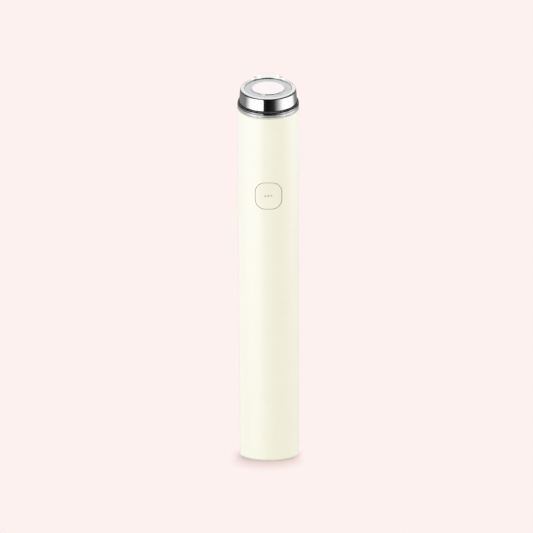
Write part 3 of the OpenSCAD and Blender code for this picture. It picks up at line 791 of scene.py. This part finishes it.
def stage_floor():
    me = bpy.data.meshes.new("studio_floor")
    s = 14.0
    me.from_pydata([(-s, -s, 0), (s, -s, 0), (s, s, 0), (-s, s, 0)], [], [[0, 1, 2, 3]])
    o = bpy.data.objects.new("studio_floor", me)
    o.location.z = -0.00002
    scene.collection.objects.link(o)
    m = bpy.data.materials.new("studio_floor_paper")
    m.use_nodes = True
    nt = m.node_tree
    nt.nodes.clear()
    out = add(nt, "ShaderNodeOutputMaterial")
    em = add(nt, "ShaderNodeEmission")
    em2 = add(nt, "ShaderNodeEmission")
    # ambient occlusion, used only as painted contact shade in the floor's colour
    ao = add(nt, "ShaderNodeAmbientOcclusion", samples=24)
    ao.inputs["Distance"].default_value = 0.0025

    def math_node(op, a, b=None):
        n = add(nt, "ShaderNodeMath", operation=op)
        for i, v in enumerate((a, b)):
            if v is None:
                continue
            if isinstance(v, (int, float)):
                n.inputs[i].default_value = v
            else:
                nt.links.new(v, n.inputs[i])
        return n.outputs[0]

    def norm(a, b):
        return math_node("SQRT", math_node("ADD", math_node("MULTIPLY", a, a), math_node("MULTIPLY", b, b)))

    def fade(v, lo, hi, dark):
        mr = add(nt, "ShaderNodeMapRange")
        for key, val in (("From Min", lo), ("From Max", hi), ("To Min", dark), ("To Max", 1.0)):
            mr.inputs[key].default_value = val
        nt.links.new(v, mr.inputs["Value"])
        return mr.outputs["Result"]
    # painted shadow: a soft oval drawn into the floor's colour that falls to the front and fades out further at the
    # front than at the sides
    tc = add(nt, "ShaderNodeTexCoord")
    sep = add(nt, "ShaderNodeSeparateXYZ")
    nt.links.new(tc.outputs["Object"], sep.inputs[0])
    u = math_node("ADD", math_node("MULTIPLY", sep.outputs["X"], 2280.0), 2.2)
    v = math_node("ADD", math_node("MULTIPLY", sep.outputs["Y"], 559.0), 3.7)
    t = norm(math_node("DIVIDE", u, 29.0), math_node("DIVIDE", v, 7.6))
    g = math_node("DIVIDE", norm(math_node("DIVIDE", u, 841.0), math_node("DIVIDE", v, 57.8)), t)
    # darkness of the painted shadow, from the oval's edge outwards
    soft = fade(math_node("DIVIDE", math_node("SUBTRACT", t, 1.0), g), -5.0, 7.0, 0.66)
    # painted contact shade: ambient occlusion near the foot darkens the floor's colour, on top of the painted shadow
    shade = math_node("MULTIPLY", soft, fade(ao.outputs["AO"], 0.30, 0.97, 0.86))
    col = two_tone(nt, shade, (0.0, 0.0, 0.0), PINK, 0.0, 1.0)
    nt.links.new(col, em.inputs["Color"])
    em.inputs["Strength"].default_value = 1.0
    em2.inputs["Color"].default_value = (0.985, 0.975, 0.97, 1)
    em2.inputs["Strength"].default_value = 0.98
    lp = add(nt, "ShaderNodeLightPath")
    mix = add(nt, "ShaderNodeMixShader")
    nt.links.new(lp.outputs["Is Camera Ray"], mix.inputs["Fac"])
    nt.links.new(em2.outputs[0], mix.inputs[1])
    nt.links.new(em.outputs[0], mix.inputs[2])
    # the paper is one-sided, so the object's underside can be seen through it
    geo = add(nt, "ShaderNodeNewGeometry")
    clear = add(nt, "ShaderNodeBsdfTransparent")
    below = add(nt, "ShaderNodeMixShader")
    nt.links.new(math_node("MULTIPLY", geo.outputs["Backfacing"], lp.outputs["Is Camera Ray"]), below.inputs["Fac"])
    nt.links.new(mix.outputs[0], below.inputs[1])
    nt.links.new(clear.outputs[0], below.inputs[2])
    nt.links.new(below.outputs[0], out.inputs["Surface"])
    me.materials.append(m)
    o.visible_glossy = False
    o.visible_shadow = False
    return o


def stage_world():
    w = bpy.data.worlds.new("studio")
    scene.world = w
    w.use_nodes = True
    nt = w.node_tree
    nt.nodes.clear()
    out = add(nt, "ShaderNodeOutputWorld")
    geo = add(nt, "ShaderNodeTexCoord")
    sep = add(nt, "ShaderNodeSeparateXYZ")
    nt.links.new(geo.outputs["Generated"], sep.inputs[0])

    def math_node(op, a, b=None):
        n = add(nt, "ShaderNodeMath", operation=op)
        for i, v in enumerate((a, b)):
            if v is None:
                continue
            if isinstance(v, (int, float)):
                n.inputs[i].default_value = v
            else:
                nt.links.new(v, n.inputs[i])
        return n.outputs[0]
    neg_y = math_node("MULTIPLY", sep.outputs["Y"], -1.0)
    az = math_node("MULTIPLY", math_node("ARCTAN2", sep.outputs["X"], neg_y), 180 / PI)   # 0 is the front, + the right
    azb = math_node("MULTIPLY", math_node("ARCTAN2", sep.outputs["X"], sep.outputs["Y"]), 180 / PI)   # 0 is the back
    el = math_node("MULTIPLY", math_node("ARCSINE", sep.outputs["Z"]), 180 / PI)

    def rise(v, lo, hi):
        mr = add(nt, "ShaderNodeMapRange", interpolation_type="SMOOTHSTEP")
        mr.inputs["From Min"].default_value = lo
        mr.inputs["From Max"].default_value = hi
        nt.links.new(v, mr.inputs["Value"])
        return mr.outputs["Result"]

    def band(v, a, b, sa, sb):
        """1 between a and b, falling to 0 over sa below a and over sb above b."""
        return math_node("MULTIPLY", rise(v, a - sa, a), math_node("SUBTRACT", 1.0, rise(v, b, b + sb)))

    def panel(which, az_band, el_band, value):
        m = math_node("MULTIPLY", band(which, *az_band), band(el, *el_band))
        return math_node("MULTIPLY", m, value)
    # soft boxes round the object: azimuth (from the front or the back), elevation, brightness
    panels = [
        (azb, (-60, 60, 20, 20), (-95, -4, 1, 6), 0.20),        # behind, low
        (az, (-38, 38, 20, 20), (24, 58, 11, 12), 1.0),         # front, above
        (az, (-80, -54, 14, 12), (36, 66, 10, 10), 0.75),       # left, above
        (az, (-50, -28, 8, 10), (14, 22, 6, 8), 0.4),           # left, low part of it
        (az, (54, 80, 12, 14), (52, 66, 8, 10), 0.75),          # right, above
        (azb, (-25, 25, 12, 12), (30, 34, 4, 26), 0.90),        # behind, above
        (azb, (-104, -16, 10, 10), (15, 23, 3, 5), 0.85),       # behind, the box on one side
        (azb, (22, 104, 24, 10), (15, 23, 3, 5), 0.85),         # behind, the box on the other side
        (azb, (-50, 50, 10, 10), (57, 80, 15, 6), 0.45),        # behind, high
        (az, (-180, 180, 1, 1), (56, 95, 16, 1), 0.36),         # overhead
        (az, (-180, 180, 1, 1), (67, 95, 7, 1), 0.36),          # overhead, middle of it
        (azb, (-150, 150, 30, 30), (-95, 95, 1, 1), 0.02),      # the room
    ]
    total = None
    for p in panels:
        v = panel(*p)
        total = v if total is None else math_node("ADD", total, v)
    total = math_node("ADD", total, 0.005)
    # the large boxes at the left and the right end higher further round; below them is the floor's glow
    far = math_node("ADD", rise(math_node("ABSOLUTE", az), 62, 86), rise(math_node("ABSOLUTE", az), 92, 128))
    far = math_node("MULTIPLY", far, 8.0)
    low = math_node("SUBTRACT", el, far)
    lit = math_node("ADD", rise(low, -33, -28), math_node("MULTIPLY", rise(low, -44, -38), 0.35))
    lit = math_node("MULTIPLY", lit, math_node("SUBTRACT", 1.0, rise(el, -9, -4)))
    sides = math_node("ADD", band(az, -62, -22, 57, 3), band(az, 82, 98, 60, 42))
    total = math_node("ADD", total, math_node("MULTIPLY", sides, lit))
    comb = add(nt, "ShaderNodeCombineColor")
    for i in range(3):
        nt.links.new(total, comb.inputs[i])
    gloss = add(nt, "ShaderNodeBackground")
    nt.links.new(comb.outputs[0], gloss.inputs["Color"])
    gloss.inputs["Strength"].default_value = 1.0
    soft = add(nt, "ShaderNodeBackground")
    soft.inputs["Color"].default_value = (0.985, 0.985, 1.0, 1)
    soft.inputs["Strength"].default_value = 1.03
    seen = add(nt, "ShaderNodeBackground")
    seen.inputs["Color"].default_value = (*PINK, 1)
    lp = add(nt, "ShaderNodeLightPath")
    m1 = add(nt, "ShaderNodeMixShader")
    m2 = add(nt, "ShaderNodeMixShader")
    nt.links.new(lp.outputs["Is Glossy Ray"], m1.inputs["Fac"])
    nt.links.new(soft.outputs[0], m1.inputs[1])
    nt.links.new(gloss.outputs[0], m1.inputs[2])
    nt.links.new(lp.outputs["Is Camera Ray"], m2.inputs["Fac"])
    nt.links.new(m1.outputs[0], m2.inputs[1])
    nt.links.new(seen.outputs[0], m2.inputs[2])
    nt.links.new(m2.outputs[0], out.inputs["Surface"])


def area(name, loc, target, size, power, color=(1, 1, 1), gloss=False):
    d = bpy.data.lights.new(name, "AREA")
    d.shape = "RECTANGLE"
    d.size, d.size_y = size
    d.energy = power
    d.color = color
    o = bpy.data.objects.new(name, d)
    o.location = loc
    o.rotation_euler = (Vector(target) - Vector(loc)).to_track_quat("-Z", "Y").to_euler()
    scene.collection.objects.link(o)
    o.visible_camera = False
    o.visible_glossy = gloss
    return o


def sheen_panel(name, azimuth, half_angle, distance, z_low, z_high, radiance):
    """An upright soft box that only the ivory plastic mirrors. Azimuth 0 is the front, + the right."""
    a = math.radians(azimuth)
    width = 2 * distance * math.tan(math.radians(half_angle))
    height = z_high - z_low
    z = (z_low + z_high) / 2
    o = area(name, (distance * math.sin(a), -distance * math.cos(a), z), (0, 0, z), (width, height),
             radiance * 4 * width * height, gloss=True)
    o.visible_diffuse = False
    o.light_linking.receiver_collection = ivory_only
    return o


ivory_only = bpy.data.collections.new("ivory_only")
for n in ("body_shell", "button_shell"):
    ivory_only.objects.link(bpy.data.objects[n])

stage_floor()
stage_world()
area("key_softbox", (-0.75, -0.80, 0.45), (0, 0, 0.09), (0.6, 0.9), 3.0)
sheen_panel("sheen_left", -63.5, 37.5, 0.6, -0.06, 0.40, 2.1)
sheen_panel("sheen_left_back", -128, 28, 0.6, -0.30, 0.40, 0.8)
sheen_panel("sheen_right", 92, 28, 0.6, 0.0, 0.40, 1.8)
sheen_panel("sheen_right_back", 131, 29, 0.6, -0.30, 0.40, 0.62)
sheen_panel("sheen_right_top", 131, 29, 0.62, 0.0, 0.40, 0.35)

soft_shoulder()

# ------------------------------------------------------------------ camera
ELEV, DIST, F_PX, AIM_Z, SIDE, ROLL = math.radians(11.15), 2.2, 5028.0, 0.08437, -0.00099, math.radians(-0.215)
cam_data = bpy.data.cameras.new("camera")
cam_data.sensor_width = 36.0
cam_data.lens = F_PX * 36.0 / 533.0
cam_data.clip_start = 0.05
cam_data.clip_end = 60.0
cam = bpy.data.objects.new("camera", cam_data)
pos = Vector((SIDE, -DIST * math.cos(ELEV), AIM_Z + DIST * math.sin(ELEV)))
aim = Vector((SIDE, 0, AIM_Z))
rot = (aim - pos).to_track_quat("-Z", "Y").to_matrix() @ Matrix.Rotation(ROLL, 3, "Z")
cam.matrix_world = Matrix.Translation(pos) @ rot.to_4x4()
scene.collection.objects.link(cam)
scene.camera = cam
